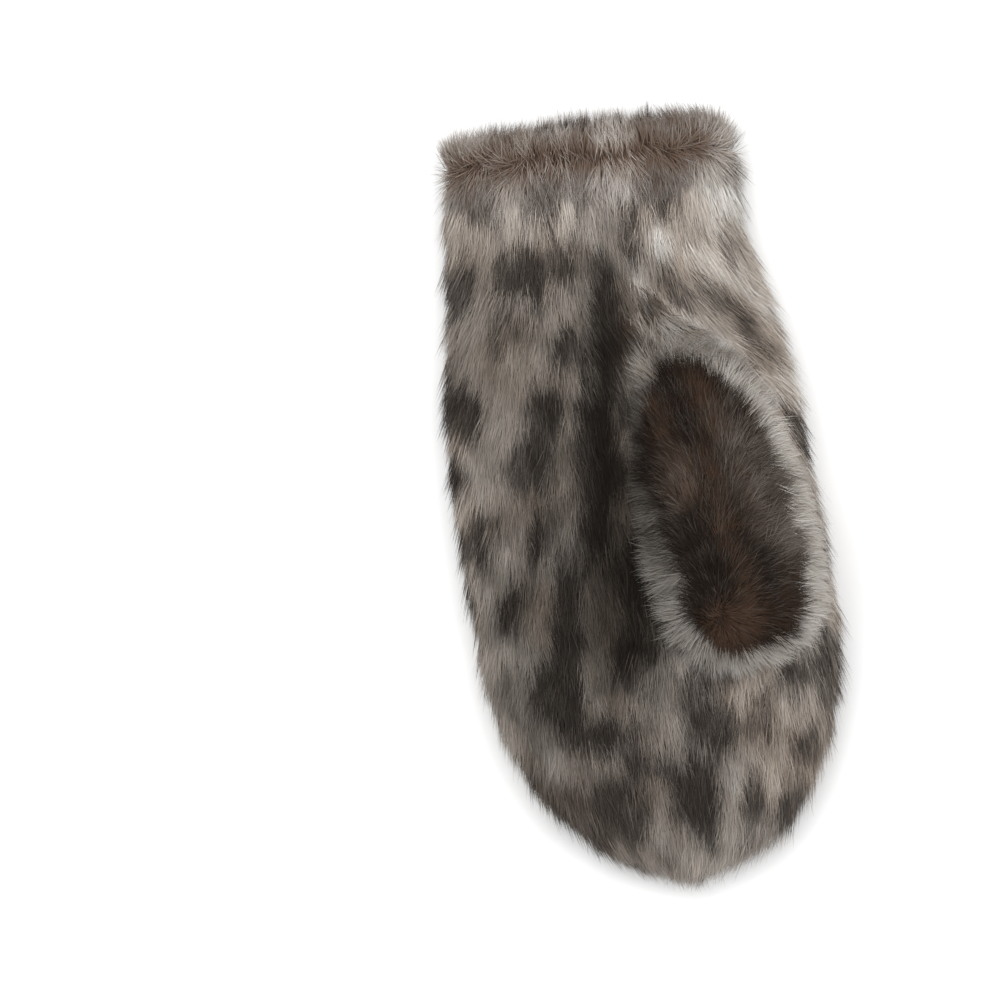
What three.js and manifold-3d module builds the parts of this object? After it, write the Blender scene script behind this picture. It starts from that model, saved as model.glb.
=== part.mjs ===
// A fur mitten for the left hand, lying on its back with the palm up. Millimetres, +Z up.
// The fingers point along -Y, the cuff opens towards +Y and the thumb lies on the palm's +X side.
// The origin is on the surface it lies on, under the middle of its bounding box.
// Each wall is the skin with its fur as deep as the fur lies, so a solid's outside is the fur's outer form.
import * as THREE from "three";
import { mergeVertices } from "three/addons/utils/BufferGeometryUtils.js";
import Module from "manifold-3d";

const wasm = await Module();
wasm.setup();

// Driving dimensions
const tipY = -141; // finger end of the fur
const rimStartY = 118; // where the turned cuff edge takes over from the panels
const rimEndY = 140.6; // the furthest fur of the cuff edge
const noseStartY = -45; // the finger end is an ellipse from here on
const noseHeightPower = 2.6; // a higher power keeps the finger end fuller in height than in outline
const noseLift = 15; // height of the finger end's middle above the surface
const wall = 11; // skin and fur together, on the hand
const thumbWall = 8.5; // skin and fur together, on the thumb
const gap = 0.3; // between neighbouring pieces
const seamZ = 22; // height of the side seam between palm and back
const sectionPower = 2.3; // 2 is an ellipse, higher is squarer
const seatShare = 0.88; // middle height over half height: under 1 flattens the back where it lies

// The hand, a row for each section along Y
const handSections = [
  { y: -45, centre: 1.5, halfWidth: 66.6, halfHeight: 27 },
  { y: -20, centre: -0.2, halfWidth: 67.2, halfHeight: 28 },
  { y: 10, centre: -2.0, halfWidth: 66.2, halfHeight: 28 },
  { y: 40, centre: -2.8, halfWidth: 64.4, halfHeight: 27 },
  { y: 68, centre: -4.0, halfWidth: 60.2, halfHeight: 25 },
  { y: 95, centre: -5.4, halfWidth: 56.2, halfHeight: 23 },
  { y: 118, centre: -5.4, halfWidth: 55.2, halfHeight: 24 },
  { y: 140, centre: -5.2, halfWidth: 54.6, halfHeight: 24.5 },
];
const noseCentre = 4.6; // sideways place of the very tip

// Creases that the palm's fur shows: straight valleys from one end to the other
const creases = [
  { name: "wrist tuck", x0: 4, y0: 114, x1: 5, y1: 84, depth: 4.2, width: 6 },
  { name: "thumb seam, long arm", x0: 14, y0: 77, x1: 60, y1: 12, depth: 3.4, width: 6 },
  { name: "thumb seam, short arm", x0: 2, y0: 71, x1: 10, y1: 52, depth: 3.2, width: 5 },
];

// The thumb, a row for each section along Y. Its base is sunk in the palm's wall
const thumbSections = [
  { y: 80, centre: 9, middle: 39, halfWidth: 3, halfHeight: 4 },
  { y: 68, centre: 13, middle: 40.5, halfWidth: 10, halfHeight: 8.5 },
  { y: 54, centre: 18.5, middle: 43.5, halfWidth: 17, halfHeight: 11.5 },
  { y: 40, centre: 22.5, middle: 48, halfWidth: 23, halfHeight: 14 },
  { y: 24, centre: 26, middle: 54, halfWidth: 27.5, halfHeight: 15.5 },
  { y: 5, centre: 28.5, middle: 59.5, halfWidth: 31, halfHeight: 16.5 },
  { y: -20, centre: 31.3, middle: 62.5, halfWidth: 33, halfHeight: 16.5 },
  { y: -36, centre: 32.3, middle: 62.5, halfWidth: 31.5, halfHeight: 16.5 },
];
const thumbBaseY = 80; // where its gusset begins, at the wrist
const thumbNoseStartY = -36;
const thumbTipY = -66.5;
const thumbTipCentre = 31;
// The dark oval panel on the thumb's top, seen from above
const ovalCentre = { x: 28, y: -5 };
const ovalRadius = { x: 22.5, y: 53 };
const ovalTurn = THREE.MathUtils.degToRad(11.5);
const thumbRoomEndY = 32;
const passage = { x: 27, y: 22, radiusX: 17, radiusY: 13, lowZ: 25, highZ: 52 };

const lerp = THREE.MathUtils.lerp;

// A smooth value of one column at y. The table's rows run along Y, and the ends hold beyond it.
function valueAt(table, column, y) {
  const rows = [...table].sort((a, b) => a.y - b.y);
  if (y <= rows[0].y) return rows[0][column];
  const last = rows.length - 1;
  if (y >= rows[last].y) return rows[last][column];
  const i = rows.findIndex((row) => row.y > y) - 1;
  const slope = (k) => {
    const a = rows[Math.max(k - 1, 0)];
    const b = rows[Math.min(k + 1, last)];
    return (b[column] - a[column]) / (b.y - a.y);
  };
  const span = rows[i + 1].y - rows[i].y;
  const t = (y - rows[i].y) / span;
  return (
    (2 * t ** 3 - 3 * t ** 2 + 1) * rows[i][column] +
    (t ** 3 - 2 * t ** 2 + t) * span * slope(i) +
    (3 * t ** 2 - 2 * t ** 3) * rows[i + 1][column] +
    (t ** 3 - t ** 2) * span * slope(i + 1)
  );
}

// The hand's outer section at y
function handAt(y) {
  const section = {
    y,
    centre: valueAt(handSections, "centre", y),
    halfWidth: valueAt(handSections, "halfWidth", y),
    halfHeight: valueAt(handSections, "halfHeight", y),
  };
  section.middle = seatShare * section.halfHeight;
  if (y < noseStartY) {
    const u = Math.min((noseStartY - y) / (noseStartY - tipY), 1);
    section.centre = lerp(section.centre, noseCentre, u);
    section.halfWidth *= Math.sqrt(1 - u * u);
    section.halfHeight *= (1 - u ** noseHeightPower) ** (1 / noseHeightPower);
    section.middle = lerp(section.middle, noseLift, u * u);
  }
  return section;
}

function thumbAt(y) {
  const section = {
    y,
    centre: valueAt(thumbSections, "centre", y),
    middle: valueAt(thumbSections, "middle", y),
    halfWidth: valueAt(thumbSections, "halfWidth", y),
    halfHeight: valueAt(thumbSections, "halfHeight", y),
  };
  if (y < thumbNoseStartY) {
    const u = Math.min((thumbNoseStartY - y) / (thumbNoseStartY - thumbTipY), 1);
    section.centre = lerp(section.centre, thumbTipCentre, u);
    section.halfWidth *= Math.sqrt(1 - u * u);
    section.halfHeight *= Math.sqrt(1 - u * u);
  }
  return section;
}

// How far the palm's surface sinks into its creases at x, y
function creaseDepth(x, y) {
  let depth = 0;
  for (const c of creases) {
    const along = new THREE.Vector2(c.x1 - c.x0, c.y1 - c.y0);
    const from = new THREE.Vector2(x - c.x0, y - c.y0);
    const t = THREE.MathUtils.clamp(from.dot(along) / along.lengthSq(), 0, 1);
    const away = from.addScaledVector(along, -t).length();
    depth += c.depth * Math.exp(-((away / c.width) ** 2));
  }
  return depth;
}

// One ring of points round a section, shrunk by inset all round
function ringOf(section, inset, points, floorZ, withCreases) {
  const ring = [];
  const a = Math.max(section.halfWidth - inset, 0.05);
  const b = Math.max(section.halfHeight - inset, 0.05);
  for (let i = 0; i < points; i++) {
    const angle = (2 * Math.PI * i) / points;
    const c = Math.cos(angle);
    const s = Math.sin(angle);
    const x = section.centre + a * Math.sign(c) * Math.abs(c) ** (2 / sectionPower);
    let z = section.middle + b * Math.sign(s) * Math.abs(s) ** (2 / sectionPower);
    if (withCreases && s > 0) z -= creaseDepth(x, section.y) * s;
    ring.push([x, section.y, Math.max(z, floorZ)]);
  }
  return ring;
}

// Places along Y from start to end, packed closer towards start
function spaced(start, end, count, packing) {
  return Array.from({ length: count + 1 }, (_, i) => start + (end - start) * (i / count) ** packing);
}

// A closed solid through rings of equal point counts, with a fan over each end, or joined end to end
function solidThrough(rings, joinedEnds = false) {
  const count = rings[0].length;
  const position = rings.flat(2);
  const index = [];
  const last = joinedEnds ? rings.length : rings.length - 1;
  for (let r = 0; r < last; r++) {
    const next = (r + 1) % rings.length;
    for (let i = 0; i < count; i++) {
      const j = (i + 1) % count;
      index.push(r * count + i, next * count + j, next * count + i);
      index.push(r * count + i, r * count + j, next * count + j);
    }
  }
  if (!joinedEnds) {
    for (const [r, turn] of [[0, false], [rings.length - 1, true]]) {
      const middle = [0, 1, 2].map((k) => rings[r].reduce((sum, p) => sum + p[k], 0) / count);
      const hub = position.length / 3;
      position.push(...middle);
      for (let i = 0; i < count; i++) {
        const j = (i + 1) % count;
        const [p, q] = turn ? [i, j] : [j, i];
        index.push(hub, r * count + p, r * count + q);
      }
    }
  }
  const geometry = new THREE.BufferGeometry();
  geometry.setAttribute("position", new THREE.Float32BufferAttribute(position, 3));
  geometry.setIndex(index);
  return solidFrom(geometry);
}

function solidFrom(geometry) {
  const bare = geometry.clone();
  bare.deleteAttribute("normal");
  bare.deleteAttribute("uv");
  const merged = mergeVertices(bare, 1e-3);
  const solid = new wasm.Manifold(
    new wasm.Mesh({
      numProp: 3,
      vertProperties: merged.attributes.position.array,
      triVerts: new Uint32Array(merged.index.array),
    }),
  );
  if (solid.volume() > 0) return solid;
  const turned = new Uint32Array(merged.index.array);
  for (let i = 0; i < turned.length; i += 3) [turned[i], turned[i + 1]] = [turned[i + 1], turned[i]];
  return new wasm.Manifold(
    new wasm.Mesh({ numProp: 3, vertProperties: merged.attributes.position.array, triVerts: turned }),
  );
}

function boxBetween(low, high) {
  const size = high.map((v, k) => v - low[k]);
  const geometry = new THREE.BoxGeometry(...size);
  geometry.translate(...low.map((v, k) => v + size[k] / 2));
  return solidFrom(geometry);
}

// An upright prism with an oval outline
function ovalPrism(centre, radiusX, radiusY, turn, lowZ, highZ) {
  const outline = new THREE.Shape().absellipse(centre.x, centre.y, radiusX, radiusY, 0, 2 * Math.PI, false, turn);
  const geometry = new THREE.ExtrudeGeometry(outline, {
    depth: highZ - lowZ,
    bevelEnabled: false,
    curveSegments: 28,
  });
  geometry.translate(0, 0, lowZ);
  return solidFrom(geometry);
}

const handPoints = 36;
const handPlaces = [...spaced(tipY + 0.4, noseStartY, 12, 1.8), ...spaced(noseStartY, rimStartY, 14, 1).slice(1)];
const cavityPlaces = [
  ...spaced(tipY + wall + 1, noseStartY, 8, 1.6),
  ...spaced(noseStartY, rimEndY + 10, 12, 1).slice(1),
];

function handOuter() {
  return solidThrough(handPlaces.map((y) => ringOf(handAt(y), 0, handPoints, 0, true)));
}

// The room for the hand, open past the cuff
function handCavity() {
  return solidThrough(cavityPlaces.map((y) => ringOf(handAt(y), wall, 28, wall, true)));
}

const thumbPlaces = [
  ...spaced(thumbTipY + 0.3, thumbNoseStartY, 7, 1.8),
  ...spaced(thumbNoseStartY, thumbBaseY, 12, 1).slice(1),
];

function thumbOuter(extra) {
  return solidThrough(thumbPlaces.map((y) => ringOf(thumbAt(y), -extra, 26, -50, false)));
}

// The passage that joins the room for the thumb to the room for the hand
function thumbPassage() {
  return ovalPrism(passage, passage.radiusX, passage.radiusY, 0, passage.lowZ, passage.highZ);
}

function thumbCavity() {
  const places = [
    ...spaced(thumbTipY + thumbWall + 1, thumbNoseStartY, 5, 1.6),
    ...spaced(thumbNoseStartY, thumbRoomEndY, 6, 1).slice(1),
  ];
  return solidThrough(places.map((y) => ringOf(thumbAt(y), thumbWall, 20, -50, false))).add(thumbPassage());
}

// Everything under the thumb's middle
function underThumb() {
  const reach = 80;
  return solidThrough(
    [-90, -60, -36, -20, 0, 15, 24, 32, 40, 48, 60].map((y) => {
      const { centre, middle } = thumbAt(y);
      return [
        [centre - reach, y, -60],
        [centre + reach, y, -60],
        [centre + reach, y, middle],
        [centre - reach, y, middle],
      ];
    }),
  );
}

// The turned cuff edge: for each place round the cuff, out along the outside, over the end and back inside
function cuffEdge() {
  const overEnd = 6;
  const straight = rimEndY - wall / 2;
  const outer = (y, inset) => ringOf(handAt(y), inset, handPoints, 0, true);
  const rings = [outer(rimStartY + gap, 0), outer((rimStartY + straight) / 2, 0)];
  for (let i = 0; i <= overEnd; i++) {
    const angle = (Math.PI * i) / overEnd;
    const inset = (wall / 2) * (1 - Math.cos(angle));
    const y = straight + (wall / 2) * Math.sin(angle);
    const ring = outer(straight, inset).map(([x, , z]) => [x, y, Math.max(z, inset)]);
    rings.push(ring);
  }
  rings.push(outer(rimStartY + gap, wall).map(([x, y, z]) => [x, y, Math.max(z, wall)]));
  return solidThrough(rings, true);
}

function geometryOf(solid) {
  const mesh = solid.getMesh();
  const geometry = new THREE.BufferGeometry();
  geometry.setAttribute("position", new THREE.BufferAttribute(new Float32Array(mesh.vertProperties), 3));
  geometry.setIndex(new THREE.BufferAttribute(new Uint32Array(mesh.triVerts), 1));
  geometry.computeVertexNormals();
  return geometry;
}

const mitten = new THREE.Group();

function addPiece(name, solid, color, roughness) {
  const material = new THREE.MeshStandardMaterial({ color, roughness, metalness: 0 });
  const mesh = new THREE.Mesh(geometryOf(solid), material);
  mesh.name = name;
  mitten.add(mesh);
}

const cavity = handCavity();
const hand = handOuter().subtract(cavity);
const above = boxBetween([-200, -200, seamZ + gap / 2], [200, 200, 200]);
const below = boxBetween([-200, -200, -50], [200, 200, seamZ - gap / 2]);
const thumb = thumbOuter(0).subtract(thumbCavity()).subtract(cavity);
const lower = underThumb();
const ovalTop = (grow) =>
  ovalPrism(ovalCentre, ovalRadius.x + grow, ovalRadius.y + grow, ovalTurn, 0, 120).subtract(
    lower.translate([0, 0, -grow]),
  );

addPiece("back_panel", hand.intersect(below), 0x8d8178, 0.9);
addPiece("palm_panel", hand.intersect(above).subtract(thumbOuter(gap)).subtract(thumbPassage()), 0x8d8178, 0.9);
addPiece("cuff_edge", cuffEdge(), 0x9a8c80, 0.9);
addPiece("thumb_gusset", thumb.subtract(ovalTop(gap)), 0xa39a90, 0.9);
addPiece("thumb_front", thumb.intersect(ovalTop(0)), 0x4a382d, 0.85);

export default mitten;
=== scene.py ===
# A long fur mitten for the left hand, lying on its back with the palm up.
# The frame is the CAD model's: metres, +Z up, fingers towards -Y, thumb on the +X side.
import math

import bmesh
import bpy
import numpy as np
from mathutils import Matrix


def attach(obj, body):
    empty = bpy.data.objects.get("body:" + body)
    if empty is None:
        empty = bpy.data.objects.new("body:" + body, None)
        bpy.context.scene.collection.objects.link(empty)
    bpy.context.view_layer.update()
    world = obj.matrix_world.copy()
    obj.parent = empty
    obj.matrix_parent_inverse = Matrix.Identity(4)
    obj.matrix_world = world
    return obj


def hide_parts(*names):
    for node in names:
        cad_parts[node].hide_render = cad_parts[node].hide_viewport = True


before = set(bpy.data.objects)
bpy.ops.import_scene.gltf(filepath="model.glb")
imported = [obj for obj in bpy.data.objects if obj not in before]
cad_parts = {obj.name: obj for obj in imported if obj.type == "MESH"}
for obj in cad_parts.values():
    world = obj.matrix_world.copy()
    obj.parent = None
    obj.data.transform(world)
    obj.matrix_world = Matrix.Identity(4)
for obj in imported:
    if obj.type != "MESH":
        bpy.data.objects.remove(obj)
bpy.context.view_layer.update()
mm = 0.001
scene = bpy.context.scene
quickShare = 1.0  # fewer strands while trying things


# Small helpers for node trees
def feed(tree, socket, value):
    if isinstance(value, bpy.types.NodeSocket):
        tree.links.new(value, socket)
    elif value is not None:
        socket.default_value = value


def addNode(tree, kind, inputs=None, **settings):
    node = tree.nodes.new(kind)
    for name, value in settings.items():
        setattr(node, name, value)
    for key, value in (inputs or {}).items():
        feed(tree, node.inputs[key], value)
    return node


def mathOf(tree, operation, *values, clamp=False):
    node = addNode(tree, "ShaderNodeMath", dict(enumerate(values)), operation=operation, use_clamp=clamp)
    return node.outputs[0]


def vectorOf(tree, operation, *values):
    node = addNode(tree, "ShaderNodeVectorMath", dict(enumerate(values)), operation=operation)
    return node.outputs["Value" if operation in ("DOT_PRODUCT", "LENGTH") else "Vector"]


def scaled(tree, vector, amount):
    node = addNode(tree, "ShaderNodeVectorMath", {0: vector, "Scale": amount}, operation="SCALE")
    return node.outputs["Vector"]


def joined(tree, **parts):
    return addNode(tree, "ShaderNodeCombineXYZ", parts).outputs[0]


def rangeOf(tree, value, low, high, outLow=0.0, outHigh=1.0, smooth=True):
    node = addNode(
        tree,
        "ShaderNodeMapRange",
        {"Value": value, "From Min": low, "From Max": high, "To Min": outLow, "To Max": outHigh},
        interpolation_type="SMOOTHSTEP" if smooth else "LINEAR",
    )
    return node.outputs["Result"]


# Camera, light and floor
camera = {"middle": (-50.4, 6.5), "turn": -6.4, "height": 3060, "lens": 300}
light = {
    "sky": 0.55,
    "soft": {"place": (-150, 260, 1300), "size": 1.1, "power": 17.0},
    "side": {"place": (900, -200, 900), "size": 0.9, "power": 4.0},
}


def setCamera():
    data = bpy.data.cameras.new("camera")
    data.lens = camera["lens"]
    data.sensor_width = 36
    data.clip_start, data.clip_end = 0.05, 20
    eye = bpy.data.objects.new("camera", data)
    eye.location = (camera["middle"][0] * mm, camera["middle"][1] * mm, camera["height"] * mm)
    eye.rotation_euler = (0, 0, math.radians(camera["turn"]))
    scene.collection.objects.link(eye)
    scene.camera = eye


def setLight():
    world = bpy.data.worlds.new("sky")
    world.use_nodes = True
    world.node_tree.nodes["Background"].inputs["Color"].default_value = (1, 1, 1, 1)
    world.node_tree.nodes["Background"].inputs["Strength"].default_value = light["sky"]
    scene.world = world
    for name in ("soft", "side"):
        lamp = bpy.data.lights.new(name + "_light", "AREA")
        lamp.shape = "DISK"
        lamp.size = light[name]["size"]
        lamp.energy = light[name]["power"]
        holder = bpy.data.objects.new(name + "_light", lamp)
        holder.location = [v * mm for v in light[name]["place"]]
        holder.rotation_euler = (-holder.location).to_track_quat("-Z", "Y").to_euler()
        scene.collection.objects.link(holder)
    scene.view_settings.view_transform = "Standard"
    scene.view_settings.look = "None"


def setFloor():
    half = 6.0  # metres
    mesh = bpy.data.meshes.new("floor")
    corners = [(-half, -half, 0), (half, -half, 0), (half, half, 0), (-half, half, 0)]
    mesh.from_pydata(corners, [], [(0, 1, 2, 3)])
    floor = bpy.data.objects.new("floor", mesh)
    scene.collection.objects.link(floor)
    finish = bpy.data.materials.new("white_floor")
    finish.use_nodes = True
    shader = finish.node_tree.nodes["Principled BSDF"]
    shader.inputs["Base Color"].default_value = (0.93, 0.93, 0.93, 1)
    shader.inputs["Roughness"].default_value = 0.9
    shader.inputs["Specular IOR Level"].default_value = 0.1
    mesh.materials.append(finish)


setCamera()
setLight()
setFloor()
print("camera, light and floor set")

# Form of the mitten, in millimetres
hand = {
    "rows": [  # along Y: middle across, half width, half height of the fur's outer form
        (-45, 1.5, 66.6, 27),
        (-20, -0.2, 67.2, 28),
        (10, -2.0, 66.2, 28),
        (40, -2.8, 64.4, 27),
        (68, -4.0, 60.2, 25),
        (95, -5.4, 56.2, 23),
        (118, -5.4, 55.2, 24),
        (140, -5.2, 54.6, 24.5),
    ],
    "tipY": -141,
    "noseY": -45,
    "noseCentre": 4.6,
    "noseLift": 15,
    "noseHeightPower": 2.6,
    "squareness": 2.3,
    "seatShare": 0.88,
    "furDepth": 6.0,  # how far the leather lies under the fur's outer form
    "furDepthUnder": 2.4,
    "furDepthTip": 11.0,
    "splitY": -8.0,  # where the wrist's and the fingers' pieces meet
    "furLength": 14.0,
    "furLift": 20.0,  # degrees that the strands rise from the leather
    "fuller": (46, -117, 14, 15),  # x, y and reach of the fuller fur by the fingertips
    "fullerLength": 2.0,
    "fullerLift": 8.0,
    "underThumb": 0.10,  # share of the strands kept where the thumb covers them
    "insideThumb": 0.05,
    "seatCover": 0.75,
    "creases": [  # from x, y to x, y, depth, width
        (4, 114, 5, 84, 4.2, 6),
        (14, 77, 60, 12, 3.4, 6),
        (2, 71, 10, 52, 3.2, 5),
    ],
}
thumb = {
    "rows": [  # along Y: middle across, middle height, half width, half height
        (80, 9, 39, 3, 4),
        (68, 13, 40.5, 10, 8.5),
        (54, 18.5, 43.5, 17, 11.5),
        (40, 22.5, 48, 23, 14),
        (24, 26, 54, 27.5, 15.5),
        (5, 28.5, 59.5, 31, 16.5),
        (-20, 31.3, 62.5, 33, 16.5),
        (-36, 32.3, 62.5, 31.5, 16.5),
    ],
    "startY": 80,
    "tipY": -66.5,
    "noseY": -36,
    "noseCentre": 31,
    "furDepth": 7.5,
    "furDepthTip": 8.0,
    "ovalMiddle": (28.1, -4.9),  # where the dark fur is rooted; it lies outwards past this
    "ovalRadius": (16.5, 46.5),
    "ovalTurn": 11.5,
    "ovalPower": 2.3,
    "whorl": (22.5, -42),  # the dark fur fans out from a line between these two points
    "whorlRadius": (7.0, 6.5),
    "lowEnd": (28, -45.5),
    "lowEndRadius": 6.5,
    "lineTop": (26, 8),
    "streaks": [  # warm streaks on the oval, in its own shares: across, along from and to, width, strength
        (-0.10, -0.80, 0.25, 0.12, 0.75),
        (-0.50, 0.05, 0.40, 0.14, 0.70),
        (-0.60, 0.55, 0.80, 0.15, 0.85),
        (0.25, 0.50, 0.85, 0.18, 0.75),
        (0.45, -0.25, 0.15, 0.12, 0.35),
    ],
    "lowStreaks": [  # at its lower end, as ovals: across, along, two half sizes, turn, strength
        (-0.50, -0.86, 0.42, 0.12, 0, 0.70),
        (0.55, -0.80, 0.35, 0.10, 25, 0.30),
    ],
    "lightSpot": (17.5, 3, 4, 8, 10, 1.0),
    "ovalLength": 11.0,
    "ovalLift": 26.0,
    "whorlReach": 7.0,
    "whorlShorter": 4.0,
    "whorlLift": 22.0,
    "fringeLength": 10.5,
    "fringeLift": 28.0,
}
cuff = {
    "startY": 117.0,
    "foldY": 131.5,
    "wall": 5.0,
    "insideY": 104.0,
    "partingY": 127.5,
    "partingDrop": 0.07,  # the parting lies lower towards the thumb's side
    "furDepth": 7.5,
    "cornerX": 34.0,  # past this the fold turns down by the thumb's side
    "furLength": (13.0, 10.5, 9.0),  # below the parting, above it, inside the cuff
    "furLift": (20, 42, 14),
    "partingLift": 24,
    "cornerLift": 22,
    "partingReach": 5.0,
    "brownReach": 5.2,
    "brownBulge": (4.0, 18, 17),  # how much further the brown reaches, round this x, over this width
    "spots": [  # dark patches on the fold, in the same columns as the marks below
        (22, 128, 13, 9, 0, 1.0),
        (-32, 128, 9, 8, 0, 0.8),
        (-8, 128, 6, 8, 0, 0.7),
        (34, 139, 3, 5, 0, 1.0),
    ],
}


tipGap = 0.2  # millimetres from the skins' last rows to the very tip


def ramp(value, start, end):
    # 0 at start and 1 at end, level before and after
    return np.clip((value - start) / (end - start), 0, 1)


def bell(away, width):
    return np.exp(-((away / width) ** 2))


def unit(v):
    return v / np.maximum(np.linalg.norm(v, axis=-1, keepdims=True), 1e-9)


def fromLine(x, y, x0, y0, x1, y1):
    # From the nearest place on a line to each point
    ax, ay = x1 - x0, y1 - y0
    t = np.clip(((x - x0) * ax + (y - y0) * ay) / (ax * ax + ay * ay), 0, 1)
    return x - x0 - t * ax, y - y0 - t * ay


def smoothTable(rows, y):
    # The columns after the first, smooth along y
    table = np.array(sorted(rows), float)
    places, values = table[:, 0], table[:, 1:]
    slopes = np.empty_like(values)
    for k in range(len(places)):
        a, b = max(k - 1, 0), min(k + 1, len(places) - 1)
        slopes[k] = (values[b] - values[a]) / (places[b] - places[a])
    y = np.clip(np.asarray(y, float), places[0], places[-1])
    i = np.clip(np.searchsorted(places, y, side="right") - 1, 0, len(places) - 2)
    span = places[i + 1] - places[i]
    t = ((y - places[i]) / span)[..., None]
    span = span[..., None]
    found = (
        (2 * t**3 - 3 * t**2 + 1) * values[i]
        + (t**3 - 2 * t**2 + t) * span * slopes[i]
        + (3 * t**2 - 2 * t**3) * values[i + 1]
        + (t**3 - t**2) * span * slopes[i + 1]
    )
    return np.moveaxis(found, -1, 0)


def superRing(angles, power):
    c, s = np.cos(angles), np.sin(angles)
    return np.sign(c) * np.abs(c) ** (2 / power), np.sign(s) * np.abs(s) ** (2 / power)


def creaseDepth(x, y):
    depth = np.zeros_like(x)
    for *line, deep, wide in hand["creases"]:
        depth += deep * bell(np.hypot(*fromLine(x, y, *line)), wide)
    return depth


def handPlaces(y, angles, inset, insetTip, floorZ):
    # Points of the hand's form, a row for each y and a column for each angle
    y = np.asarray(y, float)[:, None]
    centre, halfWidth, halfHeight = smoothTable(hand["rows"], y[:, 0])[..., None]
    u = np.clip((hand["noseY"] - y) / (hand["noseY"] - hand["tipY"] - insetTip), 0, 1)
    power = hand["noseHeightPower"]
    middle = hand["seatShare"] * halfHeight
    centre = centre + (hand["noseCentre"] - centre) * u
    halfWidth = (halfWidth - inset) * np.sqrt(1 - u * u)
    halfHeight = (halfHeight - inset) * (1 - u**power) ** (1 / power)
    middle = middle + (hand["noseLift"] - middle) * u * u
    c, s = superRing(np.asarray(angles)[None, :], hand["squareness"])
    x = centre + halfWidth * c
    z = middle + halfHeight * s
    z = np.where(s > 0, z - creaseDepth(x, y + 0 * x) * s, z)
    return np.stack([x, y + 0 * x, np.maximum(z, floorZ)], -1)


def palmTop(x, y):
    # Height of the palm's outer form over x, y
    centre, halfWidth, halfHeight = smoothTable(hand["rows"], y)
    f = np.clip(np.abs(x - centre) / halfWidth, 0, 1)
    return halfHeight * (hand["seatShare"] + (1 - f ** hand["squareness"]) ** (1 / hand["squareness"]))


def acrossShare(x, y):
    # -1 and 1 on the two side edges of the hand's form
    centre, halfWidth, _ = smoothTable(hand["rows"], y)
    u = np.clip((hand["noseY"] - y) / (hand["noseY"] - hand["tipY"]), 0, 0.97)
    centre = centre + (hand["noseCentre"] - centre) * u
    return (x - centre) / ((halfWidth - hand["furDepth"]) * np.sqrt(1 - u * u))


def thumbPlaces(y, angles, inset, insetTip):
    y = np.asarray(y, float)[:, None]
    centre, middle, halfWidth, halfHeight = smoothTable(thumb["rows"], y[:, 0])[..., None]
    u = np.clip((thumb["noseY"] - y) / (thumb["noseY"] - thumb["tipY"] - insetTip), 0, 1)
    centre = centre + (thumb["noseCentre"] - centre) * u
    halfWidth = np.maximum(halfWidth - inset, 1) * np.sqrt(1 - u * u)
    halfHeight = np.maximum(halfHeight - inset, 1) * np.sqrt(1 - u * u)
    c, s = superRing(np.asarray(angles)[None, :], hand["squareness"])
    x = centre + halfWidth * c
    return np.stack([x, y + 0 * x, middle + halfHeight * s], -1)


def towardsTip(noseY, tipY, startY, rowsOnNose, step):
    # Places along Y from the wrist side to the tip, packed closer where the nose closes
    straight = np.linspace(startY, noseY, max(int((startY - noseY) / step), 2), endpoint=False)
    nose = noseY - (noseY - tipY) * np.sin(np.linspace(0, math.pi / 2, rowsOnNose))
    return np.concatenate([straight, nose])


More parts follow.
